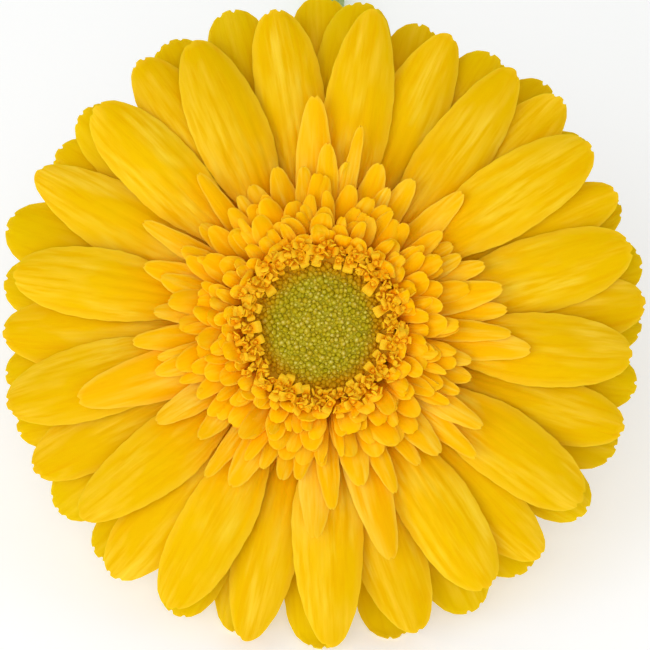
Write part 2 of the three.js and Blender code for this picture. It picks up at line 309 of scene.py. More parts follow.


# orange at the foot and a clear yellow further out. Here and in the other petal tissues, the deeper orange at
# the foot is partly the tissue's own colour and partly painted shade, where the feet lie in the valleys
# between the blades
rayTissue = petalTissue(
    "yellow ray petal tissue",
    {
        "width": 8.8, "length": 31, "veinSpacing": 0.7, "streakLength": 6,
        "patchWidth": 3.4, "patchLength": 9,
        "along": [(0, "#F79200"), (0.25, "#FBA300"), (0.46, "#F7B800"), (0.7, "#F3C202"), (1, "#E9BE00")],
        "pale": "#FFD740", "paleShare": 0.75, "marginHighlightShare": 0.3,
        "deep": "#E8A900", "deepShare": 0.4, "glow": 0.6, "relief": 0.07,
    },
)
# painted shade: a darker, duller copy of the ray tissue for the rays behind, with fewer painted sheen patches
shadedBackTissue = petalTissue(
    "shaded back ray petal tissue",
    {
        "width": 8.5, "length": 31, "veinSpacing": 0.7, "streakLength": 6,
        "patchWidth": 3.4, "patchLength": 9,
        "along": [(0, "#F29600"), (0.35, "#F3A800"), (0.6, "#EABC00"), (1, "#E5C300")],
        "pale": "#F8D63E", "paleShare": 0.4, "marginHighlightShare": 0.2,
        "deep": "#DAA400", "deepShare": 0.3, "glow": 0.6, "relief": 0.1,
    },
)
# deeper in colour and more opaque than the large rays
shortTissue = petalTissue(
    "short ray petal tissue",
    {
        "width": 3.6, "length": 14, "veinSpacing": 0.55, "streakLength": 5,
        "patchWidth": 1.8, "patchLength": 6,
        "along": [(0, "#FF9C00"), (0.35, "#FFAD00"), (0.65, "#FDB900"), (1, "#FBC107")],
        "pale": "#FFD951", "paleShare": 0.7, "marginHighlightShare": 0.45,
        "deep": "#F7A500", "deepShare": 0.4, "glow": 0.25, "relief": 0.08,
    },
)
# golden, thicker and the most opaque of all
transTissue = petalTissue(
    "golden trans floret tissue",
    {
        "width": 2.6, "length": 8, "veinSpacing": 0.6, "streakLength": 3.6,
        "patchWidth": 1.4, "patchLength": 3.6,
        "along": [(0, "#FF9800"), (0.45, "#FFAC00"), (0.75, "#FFB600"), (1, "#FEC004")],
        "pale": "#FFD53F", "paleShare": 0.5, "marginHighlightShare": 0.45,
        "deep": "#FEA100", "deepShare": 0.4, "glow": 0.1, "relief": 0.06,
    },
)

# The tissue of the small florets, the buds, the bracts and the scape: coloured by how far out or up a
# point is on its own floret, and finely mottled
skins = {"ior": 1.42, "glowShare": 0.25, "lightDepth": 0.5}


def plantSkin(name, finish):
    material, tree, skin = newMaterial(name)
    rise = addNode(tree, "ShaderNodeAttribute", attribute_name="rise").outputs["Fac"]
    tint = addNode(tree, "ShaderNodeAttribute", attribute_name="tint").outputs["Fac"]
    place = addNode(tree, "ShaderNodeTexCoord").outputs["Object"]
    mottling = finish["mottling"]
    noise = {"Vector": place, "Scale": 1 / (finish["grain"] * mm), "Detail": 3}
    grain = addNode(tree, "ShaderNodeTexNoise", noise)
    mixed = addNode(tree, "ShaderNodeMath", {0: grain, 1: mottling, 2: rise}, operation="MULTIPLY_ADD")
    centred = addNode(tree, "ShaderNodeMath", {0: mixed, 1: mottling / 2}, operation="SUBTRACT")
    body = addNode(tree, "ShaderNodeValToRGB", {"Fac": centred})
    setStops(body.color_ramp.elements, finish["up"])
    toward = addNode(tree, "ShaderNodeMapRange", {"Value": tint, "To Max": finish["tintShare"]})
    layers = {0: toward, 6: body, 7: colour(finish["tinted"])}
    relief = {"Height": grain, "Strength": 0.5, "Distance": finish["relief"] * mm}
    values = {
        "Base Color": addNode(tree, "ShaderNodeMix", layers, data_type="RGBA").outputs[2],
        "Normal": addNode(tree, "ShaderNodeBump", relief),
        "Roughness": finish["roughness"],
        "IOR": skins["ior"],
        "Specular IOR Level": finish["gloss"],
        "Subsurface Weight": skins["glowShare"],
        "Subsurface Radius": finish["glow"],
        "Subsurface Scale": skins["lightDepth"] * mm,
    }
    setInputs(tree, skin, values)
    return material


# golden lobes, deeper towards the tube: the deeper orange low down in each floret is painted shade, and the
# palest lobe ends are partly a painted highlight
floretTissue = plantSkin(
    "open disc floret tissue",
    {
        "up": [(0, "#F69400"), (0.35, "#FAA200"), (0.62, "#F8AC00"), (1, "#FCC01A")],
        "tinted": "#F4BA1A", "tintShare": 0.35, "grain": 0.5, "mottling": 0.25,
        "relief": 0.03, "roughness": 0.5, "gloss": 0.1, "glow": (1, 0.5, 0.05),
    },
)
# olive green, darker low down on each bud as a painted shade between the buds, with pale tips that are partly
# a painted highlight, and browner at the rim of the eye
budSkin = plantSkin(
    "green disc bud skin",
    {
        "up": [(0, "#908200"), (0.35, "#B1A10E"), (0.6, "#BEAF2A"), (1, "#D7CA6C")],
        "tinted": "#CC8C00", "tintShare": 0.85, "grain": 0.6, "mottling": 0.45,
        "relief": 0.02, "roughness": 0.6, "gloss": 0.08, "glow": (0.9, 1, 0.1),
    },
)
# leaf green with pale margins and reddish points
bractSkin = plantSkin(
    "green bract skin",
    {
        "up": [(0, "#93AF58"), (0.4, "#678E38"), (0.8, "#54772F"), (1, "#794B3E")],
        "tinted": "#A9C572", "tintShare": 0.6, "grain": 0.5, "mottling": 0.3,
        "relief": 0.06, "roughness": 0.55, "gloss": 0.35, "glow": (0.6, 1, 0.2),
    },
)
# pale green and a little waxy, turning brownish at the cut
scapeSkin = plantSkin(
    "green scape skin",
    {
        "up": [(0, "#88A74F"), (0.5, "#98B35A"), (0.9, "#A0B162"), (1, "#A9A169")],
        "tinted": "#B7C883", "tintShare": 0.5, "grain": 1.6, "mottling": 0.5,
        "relief": 0.04, "roughness": 0.5, "gloss": 0.4, "glow": (0.6, 1, 0.2),
    },
)
# moist and nearly white, with a green rim
pithFlesh = plantSkin(
    "cut scape pith",
    {
        "up": [(0, "#D9DDB0"), (0.6, "#C9D29A"), (0.85, "#A7B86A"), (1, "#7F9446")],
        "tinted": "#E8EAC8", "tintShare": 0.3, "grain": 0.3, "mottling": 0.3,
        "relief": 0.06, "roughness": 0.6, "gloss": 0.4, "glow": (0.8, 1, 0.5),
    },
)
# a silvery down that catches the light
hairTissue = plantSkin(
    "fine silvery plant hair",
    {
        "up": [(0, "#B9C79A"), (1, "#EEF0DC")],
        "tinted": "#FFFFFF", "tintShare": 0.2, "grain": 2, "mottling": 0.1,
        "relief": 0.01, "roughness": 0.5, "gloss": 0.3, "glow": (1, 1, 0.8),
    },
)
print("materials ready")


# Blades of florets


def shareAt(blade, along):
    # the width at a place along a blade, as a share of its full width
    along = np.clip(along, 0, 1)
    opened = np.clip(along / blade["widest"], 0, 1) ** blade["slimness"]
    eased = opened * opened * (3 - 2 * opened)
    past = np.clip((along - blade["widest"]) / (1 - blade["widest"]), 0, 1)
    closing = np.sqrt(1 - past ** blade["fullness"])
    return (blade["foot"] + (1 - blade["foot"]) * eased) * np.maximum(blade["tip"], closing)


def modelBlade(name, blade):
    # a flat strip along +Y is grooved, then narrowed row by row, and its end is rounded and notched
    counts = {"x_subdivisions": blade["columns"], "y_subdivisions": blade["rows"]}
    strip = started(bpy.ops.mesh.primitive_grid_add, size=2, **counts)
    strip.name = name
    length = blade["length"] - blade["bulge"]
    bpy.ops.object.mode_set(mode="EDIT")
    bpy.ops.transform.resize(value=(blade["width"] / 2, length / 2, 1), center_override=(0, -1, 0))
    slide((0, 1, 0))
    columnStep = blade["width"] / blade["columns"]
    rowStep = length / blade["rows"]
    for groove in blade["grooves"]:
        pick(strip, lambda p: abs(p.x - groove) < columnStep / 2)
        slide((0, 0, -blade["grooveDepth"]), 1.6 * columnStep)
    for row in range(blade["rows"] + 1):
        y = row * rowStep
        pick(strip, lambda p: abs(p.y - y) < rowStep / 2)
        share = float(shareAt(blade, y / blade["length"]))
        depthLeft = min(1, max(0.15, (0.92 - y / length) / 0.35))  # grooves fade out before the tip
        bpy.ops.transform.resize(value=(share, 1, depthLeft), center_override=(0, y, 0))
    tipShare = float(shareAt(blade, length / blade["length"]))
    for notch, depth in blade["notches"]:
        pick(strip, lambda p: p.y > length - rowStep / 2 and abs(p.x - notch) < columnStep * tipShare / 2)
        slide((0, -depth, 0), blade["notchReach"], "ROOT")
    pick(strip, lambda p: abs(p.x) < columnStep / 4 and p.y > length - 0.6 * rowStep)
    slide((0, blade["bulge"], 0), tipShare * blade["width"] / 2, "INVERSE_SQUARE")
    bpy.ops.object.mode_set(mode="OBJECT")
    # the UV map follows the veins, which draw together less than the margins do
    points = pointsOf(strip.data)
    along = points[:, 1] / blade["length"]
    share = shareAt(blade, along)
    halfWidth = blade["width"] / 2 * share
    mark(strip.data, "margin", np.maximum(np.abs(points[:, 0]) / halfWidth, 10 * along - 9))
    aside = 0.5 + points[:, 0] / (blade["width"] * share**0.3)
    corners = np.empty(len(strip.data.loops), int)
    strip.data.loops.foreach_get("vertex_index", corners)
    strip.data.uv_layers.active.data.foreach_set("uv", np.stack([aside, along], axis=1)[corners].ravel())
    return strip


def templatesOf(name, blade, forms):
    # a modelled blade of each form, with the values that it was made from
    blades = [{**blade, **form} for form in forms]
    return [(modelBlade(f"{name} {number}", one), one) for number, one in enumerate(blades)]


def bezier(start, over, end, s):
    point = [(1 - s) ** 2 * a + 2 * s * (1 - s) * b + s * s * c for a, b, c in zip(start, over, end)]
    slope = [2 * (1 - s) * (b - a) + 2 * s * (c - b) for a, b, c in zip(start, over, end)]
    steep = np.hypot(*slope)
    return point[0], point[1], slope[0] / steep, slope[1] / steep


def layBlade(template, blade, floret):
    # bends a blade along a floret's own curve, arched across and a little twisted, as in the CAD part
    points = pointsOf(template.data)
    s = points[:, 1] / blade["length"]
    flat = points[:, 0] * floret["width"] / blade["width"]
    share = shareAt(blade, s)
    out = flat / (floret["width"] / 2 * share)  # from -1 at one margin to 1 at the other
    radius, height, alongOut, alongUp = bezier(floret["start"], floret["over"], floret["end"], s)
    phase = floret.get("phase", 0)
    ripple = np.sin(2 * math.pi * (2.1 * s + phase) + 1.3 * out)
    drop = -floret["arch"] * share * out**2 + points[:, 2]
    drop += floret.get("wave", 0) * np.abs(out) ** 3 * ripple
    drop += floret["curl"] * np.clip((s - 0.7) / 0.3, 0, 1) ** 2  # over the last third
    # the margins are a little ragged
    shift = 9 * phase + 2 * out
    flat = flat + floret.get("ragged", 0) * out**3 * np.sin(31 * s + shift) * np.sin(50 * s - shift)
    turn = floret["twist"] * s
    sideways = flat * np.cos(turn) - drop * np.sin(turn) + floret["sway"] * 2.5 * s * (1 - s)
    lift = flat * np.sin(turn) + drop * np.cos(turn)
    laid = inBloom(floret["angle"], radius - alongUp * lift, height + alongOut * lift, sideways)
    return overTable(laid, floret["level"])


# Large rays

rayBlade = {
    "length": 31, "width": 8.8, "columns": 28, "rows": 40, "foot": 0.24, "slimness": 1.3, "tip": 0.3,
    "bulge": 0.9, "grooveDepth": 0.13, "notchReach": 0.3,
}
# where the outline is widest and how full it is beyond that, then the places of the grooves, and the
# place and depth of each notch
rayForms = [
    {"widest": 0.64, "fullness": 2.5, "grooves": (-2.8, -1.3, 0.3, 1.6, 3.1), "notches": [(0.35, 0.2)]},
    {
        "widest": 0.68, "fullness": 2.9, "grooves": (-3.1, -1.6, 0, 1.3, 2.8),
        "notches": [(-0.5, 0.24), (0.9, 0.2)],
    },
    {"widest": 0.61, "fullness": 2.1, "grooves": (-2.5, -0.6, 0.9, 2.8), "notches": [(-0.7, 0.18)]},
]
# the rays behind have blunter, more notched tips, and wider feet, which show from behind
backForm = {"foot": 0.45, "slimness": 0.85, "widest": 0.74, "fullness": 3.6, "tip": 0.48, "bulge": 0.6}
backNotches = [[(-1.2, 0.25), (0.5, 0.3)], [(-0.4, 0.3), (1.3, 0.22)], [(-1.4, 0.2), (0.1, 0.25), (1.4, 0.2)]]
backForms = [{**form, **backForm, "notches": notches} for form, notches in zip(rayForms, backNotches)]
rayTemplates = templatesOf("ray blade", rayBlade, rayForms)
backTemplates = templatesOf("back ray blade", rayBlade, backForms)

rayThickness = 0.3
# a ray's spine runs from its foot over a point to its tip, each a radius and a height, and it is laid on
# the table no lower than the level. The rays are angles and radii of tips, and how far some are lifted
whorls = [
    {
        "name": "hindRays", "node": "hind_rays", "material": shadedBackTissue, "slot": "back_petal",
        "over": (20, -0.5), "tipHeight": -2.5, "level": 0.17, "width": 8.4, "arch": 0.8, "twist": 5,
        "rays": [
            (0, 40.2), (22, 40.5), (46.5, 41.3), (71, 39.8), (89.6, 41.2), (118, 40.2), (146, 39.4),
            (172, 39.8), (199, 39.9), (226, 40), (255, 40.2), (283, 40.5), (310, 40.1), (337, 40),
        ],
    },
    {
        "name": "backRays", "node": "back_rays", "material": shadedBackTissue, "slot": "back_petal",
        "over": (20, 1.3), "tipHeight": -0.4, "level": 1.2, "width": 8.5, "arch": 0.85, "twist": 5,
        "rays": [
            (11, 40.8), (34, 40.3), (57, 40), (82, 40.6), (106, 40.7), (138, 39.7), (162, 40.8),
            (189, 39.6), (214.5, 39.9), (243, 40.2), (270, 40.4), (298, 40.3), (325, 40.4), (349, 40.1),
        ],
    },
    {
        "name": "middleRays", "node": "middle_rays", "material": rayTissue, "slot": "petal",
        "over": (19, 3.3), "tipHeight": 2, "level": 2.25, "width": 8.5, "arch": 1, "twist": 5,
        "rays": [
            (4, 40.3), (24, 40.2), (43, 41), (66, 39.4), (98, 39.5), (124, 39.7), (151.5, 39.9),
            (181, 39.2), (206.5, 39.6), (230, 40.2), (256.5, 40.1), (287.5, 39.6), (313.5, 39.4), (341, 39.6),
        ],
    },
    {
        "name": "frontRays", "node": "front_rays", "material": rayTissue, "slot": "petal",
        "over": (18, 5.4), "tipHeight": 4.1, "level": 3.3, "width": 8.8, "arch": 1.2, "twist": 3,
        "rays": [
            (14, 39.5, -0.3), (33.6, 40, 1.7), (52.8, 39.5), (80.3, 39.4), (114, 38.4), (135.5, 38.6),
            (170, 38.2), (194, 39.6), (218.5, 37.6), (241.5, 39.2), (272, 39.5), (302.5, 38.2),
            (326, 38.8), (354.5, 38.5, 1.2),
        ],
    },
]


def makeWhorl(at, whorl):
    foot = bloom["lowestSeat"] + at * bloom["seatPitch"]
    copies = []
    for i, (degrees, tip, *lifts) in enumerate(whorl["rays"]):
        seed = 100 * (at + 1) + i
        lift = sum(lifts)
        template, blade = (backTemplates if at < 2 else rayTemplates)[int(1.5 * (1 + scatter(seed + 0.4)))]
        floret = {
            "angle": math.radians(degrees),
            "start": (bloom["seatRadius"], foot),
            "over": (whorl["over"][0], whorl["over"][1] + lift),
            "end": (tip, whorl["tipHeight"] + 0.5 * lift + 0.3 * scatter(seed)),
            "width": whorl["width"] * (1 + 0.08 * scatter(seed + 0.1)),
            "arch": whorl["arch"],
            "twist": math.radians(whorl["twist"]),
            "sway": 1.1 * scatter(seed + 0.2),
            "level": whorl["level"],
            "wave": 0.16,
            "ragged": 0.09,
            "phase": scatter(seed + 0.5),
            "curl": -1 + 0.5 * scatter(seed + 0.6),
        }
        copies.append(copyOf(template, layBlade(template, blade, floret), tint=ownTint(seed + 0.7)))
    piece = joined(whorl["name"], copies, rayThickness)
    finishPiece(piece, whorl["material"], whorl["slot"], whorl["node"])


for at, whorl in enumerate(whorls):
    makeWhorl(at, whorl)

# Short rays

shortBlade = {
    "length": 14, "width": 3.8, "columns": 14, "rows": 18, "foot": 0.4, "slimness": 0.8, "widest": 0.55,
    "fullness": 2.3, "tip": 0.3, "bulge": 0.6, "grooveDepth": 0.1, "grooves": (-0.8, 0.75),
    "notches": [(0, 0.2)], "notchReach": 0.2,
}
shortTemplate = modelBlade("short blade", shortBlade)
shortThickness = 0.28
# angle, radius of the tip and width of those that lie lower, then of those over them
shortLayers = [
    [
        (5, 23, 3), (20.6, 21.5, 3), (31.5, 19, 2.6), (43, 23.9, 3.5), (57.5, 21.3, 3.3), (69.7, 21.2, 3.4),
        (80.5, 20.4, 2.8), (91.3, 28.2, 4.6), (105.6, 20.2, 3.2), (116, 19.2, 3), (128.7, 23.9, 2.5),
        (140, 19.2, 2.8), (149.5, 25.1, 2.8), (161, 22.8, 3.4), (175, 20.4, 2.8), (185, 23, 3.2),
        (197, 31, 6.4), (210.5, 23.2, 3.6), (232.8, 23.2, 2.4), (256, 19.4, 2.8), (268.5, 26, 4.3),
        (287, 29.9, 5.1), (305.5, 20.9, 2.4), (320, 25, 2.8), (340.8, 19.6, 2.8), (353.5, 26, 4.3),
    ],
    [
        (357.7, 23.4, 2.7), (12, 22.8, 3.7), (26.2, 19.2, 2.5), (37.5, 18.6, 2.2), (63.5, 18.9, 2.3),
        (78.3, 25, 1.9), (87.5, 22.4, 3), (96, 19.6, 2.5), (122, 18.8, 2.2), (150.5, 19.4, 2.7),
        (163, 20.3, 3.1), (171, 18.8, 2.6), (191.2, 20.2, 1.9), (195.8, 20.9, 2.8), (223, 20.2, 2.9),
        (241, 22.4, 3.8), (248, 18.8, 2.2), (262, 19, 2.4), (273.8, 22.5, 2.8), (284.5, 20.2, 3.6),
        (294.2, 22.4, 2.6), (313, 21.4, 3.6), (328, 23.4, 3.2), (334.5, 18.9, 2.2), (347, 19, 2.4),
    ],
]
shortFoot = bloom["lowestSeat"] + len(whorls) * bloom["seatPitch"]
copies = []
shortRays = [(layer, ray) for layer, rays in enumerate(shortLayers) for ray in rays]
for i, (layer, (degrees, tip, width)) in enumerate(shortRays):
    floret = {
        "angle": math.radians(degrees),
        "start": (bloom["seatRadius"], shortFoot + 0.4 * layer),
        "over": (13, 4.7 + 0.25 * (i % 2) + 0.65 * layer),
        "end": (tip, 5.6 + 0.03 * (tip - 18) + 0.15 * (i % 2) + 0.6 * layer),
        "width": width,
        "arch": width * 0.1,
        "twist": math.radians(9) * scatter(500.2 + i),
        "sway": 0.5 * scatter(500.4 + i),
        "level": 4.4,
        "wave": 0.08,
        "ragged": 0.08,
        "phase": scatter(500.6 + i),
        "curl": 0.1 + 0.35 * scatter(500.8 + i),
    }
    points = layBlade(shortTemplate, shortBlade, floret)
    copies.append(copyOf(shortTemplate, points, tint=ownTint(510.3 + i)))
finishPiece(joined("shortRays", copies, shortThickness), shortTissue, "petal", "short_rays")

# Trans florets

transBlade = {
    "length": 8, "width": 2.6, "columns": 12, "rows": 12, "foot": 0.5, "slimness": 0.8, "widest": 0.64,
    "fullness": 2.5, "grooveDepth": 0.09, "notchReach": 0.3,
}
transForms = [
    {"tip": 0.5, "bulge": 0.5, "grooves": (-0.43, 0.43), "notches": []},
    {"tip": 0.55, "bulge": 0.45, "grooves": (0,), "notches": [(0, 0.22)]},
    {"tip": 0.4, "bulge": 0.5, "grooves": (-0.21,), "notches": []},
]
transTemplates = templatesOf("trans blade", transBlade, transForms)
trans = {
    "perTier": 30,
    "between": 48,
    "tips": [(17.6, 6.9), (16, 7.55), (14.4, 8.2), (12.9, 8.8), (11.4, 9.4)],  # radius and height
    "tipSpread": (1.4, 0.16),  # in the outermost tier, and how much less in each next one
    "width": (2.6, 0.14),
    "betweenWidth": 1.5,
    "thickness": 0.24,
}
copies = []


def makeTransFloret(seed, angle, foot, tip, width):
    template, blade = transTemplates[int(1.5 * (1 + scatter(seed + 0.4)))]
    floret = {
        "angle": angle,
        "start": (bloom["seatRadius"], foot),
        "over": (bloom["seatRadius"] + 0.38 * (tip[0] - bloom["seatRadius"]), foot + 0.9 * (tip[1] - foot)),
        "end": tip,
        "width": width,
        "arch": 0.2 + 0.32 * scatter(seed + 0.8),
        "twist": math.radians(20) * scatter(seed + 0.7),
        "sway": 0.8 * scatter(seed + 0.9),
        "level": 5,
        "wave": 0.1,
        "ragged": 0.07,
        "phase": scatter(seed + 0.85),
        "curl": -0.12 + 0.5 * scatter(seed + 0.2),
    }
    copies.append(copyOf(template, layBlade(template, blade, floret), tint=ownTint(seed + 0.1)))


for tier, (tipRadius, tipHeight) in enumerate(trans["tips"]):
    foot = shortFoot + (tier + 1) * bloom["seatPitch"]
    spread, width = [first - less * tier for first, less in (trans["tipSpread"], trans["width"])]
    for i in range(trans["perTier"]):
        seed = 1000 * (tier + 1) + i
        angle = (i + 0.5 * (tier % 2) + 0.5 * scatter(seed + 0.6)) * 2 * math.pi / trans["perTier"]
        tip = (tipRadius + spread * scatter(seed), tipHeight + 0.3 * scatter(seed + 0.5))
        makeTransFloret(seed, angle, foot, tip, width * (1 + 0.3 * scatter(seed + 0.3)))
# a few narrow ones that stand between the tiers
for i in range(trans["between"]):
    seed = 1900 + i
    tier = i % 4
    angle = (i + 0.4 * scatter(seed + 0.6)) * 2 * math.pi / trans["between"]
    tipRadius, tipHeight = trans["tips"][tier]
    tip = (tipRadius - 0.5 + 0.9 * scatter(seed), tipHeight + 0.4)
    foot = shortFoot + (tier + 1.5) * bloom["seatPitch"]
    makeTransFloret(seed, angle, foot, tip, trans["betweenWidth"] + 0.35 * scatter(seed + 0.3))
piece = joined("transFlorets", copies, trans["thickness"])
finishPiece(piece, transTissue, "trans_floret", "trans_florets")

# Open disc florets

openFloret = {
    "tubeRadius": 0.42,
    "tubeLength": 1.6,
    "wall": 0.12,
    "squareness": 0.62,  # what each step leaves of the roundness of a lobe's end
    # each lobe's steps out, up and in width, from the rim of the tube; then the tube is turned to the next
    "kinds": [
        # a broad lip and a short one
        {
            "sides": 8, "turn": 180, "rimFrom": -0.05,
            "lobes": [
                [(0.1, 0.32, 1.25), (0.25, 0.22, 1.15), (0.32, 0.02, 1.05), (0.22, -0.18, 0.95)],
                [(0.12, 0.3, 1.1), (0.22, 0.1, 1), (0.05, -0.25, 0.8)],
            ],
        },
        # three lobes that curl back
        {
            "sides": 9, "turn": 120, "rimFrom": 0.2,
            "lobes": [
                [(0.1, 0.35, 1.5), (0.3, 0.25, 1.3), (0.2, -0.2, 0.8)],
                [(0.25, 0.2, 1.6), (0.3, 0, 1.1), (0.1, -0.25, 0.8)],
                [(0.05, 0.45, 1.5), (0.15, 0.3, 1.1), (-0.1, 0.2, 0.7)],
            ],
        },
        # half open, its lobes still over the mouth
        {
            "sides": 9, "turn": 120, "rimFrom": 0.2,
            "lobes": [
                [(0.12, 0.35, 1.4), (0, 0.25, 1.1), (-0.3, 0.1, 0.9)],
                [(0.2, 0.3, 1.5), (0.1, 0.3, 1.2), (-0.2, 0.2, 0.9)],
                [(0.1, 0.45, 1.4), (-0.15, 0.25, 1), (-0.3, 0, 0.7)],
            ],
        },
    ],
    # each ring's count, radius, height, lean, the way its florets face and how far they stray from it, and
    # their kinds. The first ring's broad lips hang over the buds, and the others face every way
    "rings": [
        (28, 8.3, 8.5, -15, 180, 25, (0, 0, 0, 2)),
        (38, 8.75, 8.6, 0, 90, 150, (1, 1, 2, 0)),
        (44, 9.3, 8.8, 15, 0, 100, (1, 2, 0, 0)),
        (32, 10.1, 9.1, 20, 0, 170, (1, 1, 2, 1)),
    ],
}


def modelOpenFloret(kind):
    # a tube whose rim is drawn out into lobes, with anthers filling its mouth
    radius = openFloret["tubeRadius"]
    length = openFloret["tubeLength"]
    tube = started(
        bpy.ops.mesh.primitive_cylinder_add, vertices=kind["sides"], radius=radius, depth=length,
        end_fill_type="NOTHING", location=(0, 0, -length / 2),
    )
    bpy.ops.object.mode_set(mode="EDIT")
    bpy.ops.mesh.select_mode(type="EDGE")
    for steps in kind["lobes"]:
        pick(
            tube,
            lambda p: abs(p.z) < 0.01 and p.x > kind["rimFrom"] and abs(math.hypot(p.x, p.y) - radius) < 0.01,
            "edges",
        )
        front = radius
        for outwardStep, rise, wide in steps:
            front += outwardStep
            bpy.ops.mesh.extrude_region_move(TRANSFORM_OT_translate={"value": (outwardStep, 0, rise)})
            bpy.ops.transform.resize(value=(openFloret["squareness"], wide, 1), center_override=(front, 0, 0))
        bpy.ops.mesh.select_all(action="SELECT")
        bpy.ops.transform.rotate(value=math.radians(kind["turn"]), orient_axis="Z", center_override=(0, 0, 0))
    bpy.ops.mesh.select_mode(type="VERT")
    bpy.ops.mesh.select_all(action="SELECT")
    bpy.ops.mesh.normals_make_consistent(inside=False)
    bpy.ops.object.mode_set(mode="OBJECT")
    applyModifier("SUBSURF", levels=1, render_levels=1)
    applyModifier("SOLIDIFY", thickness=openFloret["wall"], offset=0)
    anthers = started(
        bpy.ops.mesh.primitive_cone_add, vertices=6, radius1=radius, radius2=0.3 * radius, depth=0.5,
        end_fill_type="TRIFAN", location=(0, 0, 0.1),
    )
    selectOnly(tube, anthers)
    bpy.ops.object.join()
    return tube


def turned(points, angle, axis):
    # points turned about one axis through their origin
    a, b = [(1, 2), (2, 0), (0, 1)][axis]
    result = points.copy()
    result[:, a] = points[:, a] * math.cos(angle) - points[:, b] * math.sin(angle)
    result[:, b] = points[:, a] * math.sin(angle) + points[:, b] * math.cos(angle)
    return result


def standInBloom(points, angle, radius, height, lean):
    # puts a shape that was modelled upright on the disc: its +X looks away from the axis
    leaned = turned(points, lean, 1)
    return inBloom(angle, radius + leaned[:, 0], height + leaned[:, 2], leaned[:, 1])


floretTemplates = [modelOpenFloret(kind) for kind in openFloret["kinds"]]
copies = []
for ringNumber, ring in enumerate(openFloret["rings"]):
    count, ringRadius, ringHeight, ringLean, faces, stray, kinds = ring
    for i in range(count):
        seed = 3000 + 100 * ringNumber + i
        floretTemplate = floretTemplates[kinds[int(2 * (1 + scatter(seed + 0.3)))]]
        floretPoints = pointsOf(floretTemplate.data)
        reachOut = np.hypot(floretPoints[:, 0], floretPoints[:, 1]) - openFloret["tubeRadius"]
        # painted shade and highlight: darker low in the tube, paler up and out towards the lobe ends
        floretRise = np.clip(0.3 + floretPoints[:, 2] / 1.2 + 0.4 * reachOut, 0, 1)
        floretRise[(reachOut < 0.02) & (floretPoints[:, 2] > -0.2)] = 0.95  # the yellow anthers in its mouth
        scaled = floretPoints * (0.95 + 0.2 * scatter(seed))
        spun = turned(scaled, math.radians(faces + stray * scatter(seed + 0.2)), 2)
        angle = 2 * math.pi * (i + 0.35 * scatter(seed + 0.4)) / count
        radius = ringRadius + 0.3 * scatter(seed + 0.6)
        height = ringHeight + 0.3 * scatter(seed + 0.8)
        lean = math.radians(ringLean + 15 * scatter(seed + 0.9))
        points = standInBloom(spun, angle, radius, height, lean)
        copies.append(copyOf(floretTemplate, points, rise=floretRise, tint=0.5 + 0.5 * scatter(seed + 0.1)))
finishPiece(joined("openDiscFlorets", copies), floretTissue, "disc_floret", "open_disc_florets")

# Disc buds

buds = {
    "radius": 7.8, "count": 630, "size": 0.4, "jitter": 0.14, "top": 8.7, "rim": 7.6,
    "goldenAngle": math.radians(137.508),
    "domeRadius": 9.1, "domeFoot": -2,
    "shoulder": 0.45,  # how far the dome rises again beyond the buds, under the open florets
}


def modelBud():
    # a closed bud, drawn to a blunt point where its lobes meet
    bud = started(bpy.ops.mesh.primitive_uv_sphere_add, segments=6, ring_count=6, radius=1)
    bpy.ops.object.mode_set(mode="EDIT")
    pick(bud, lambda p: 0.8 < p.z < 0.95)
    bpy.ops.transform.resize(value=(0.85, 0.85, 1.1), center_override=(0, 0, 0))
    pick(bud, lambda p: p.z > 0.99)
    slide((0, 0, 0.2))
    bpy.ops.object.mode_set(mode="OBJECT")
    return bud


def domeHeight(radius):
    return buds["top"] - (buds["top"] - buds["rim"]) * (radius / buds["radius"]) ** 2


budTemplate = modelBud()
budPoints = pointsOf(budTemplate.data)
# painted shade and highlight: each bud is darker low down, where it stands among the others, and palest at
# its cap
budRise = np.clip(0.12 + 0.5 * budPoints[:, 2] + 0.3 * (budPoints[:, 2] > 1.1), 0, 1)
copies = []
for i in range(buds["count"]):
    share = math.sqrt((i + 0.5) / buds["count"])
    radius = buds["radius"] * share + buds["jitter"] * scatter(5200 + i)
    size = buds["size"] * (0.95 + 0.2 * scatter(5000 + i) + 0.2 * max(0, share - 0.8) / 0.2)
    scaled = budPoints * (size * (1 + 0.28 * scatter(5700 + i)), size, size)
    points = standInBloom(
        turned(scaled, math.pi * scatter(5800 + i), 2),
        i * buds["goldenAngle"] + buds["jitter"] * scatter(5300 + i) / max(radius, 1),
        radius,
        domeHeight(radius) - 0.15 + 0.14 * scatter(5400 + i),
        0.35 * share + 0.4 * scatter(5600 + i),
    )
    edge = min(1, max(0, (share - 0.72) / 0.2))
    rise = budRise * (1 - 0.2 * share - 0.15 * edge) * (0.95 + 0.36 * scatter(5500 + i))
    copies.append(copyOf(budTemplate, points, rise=rise, tint=0.85 * edge + 0.12 + 0.12 * scatter(6000 + i)))

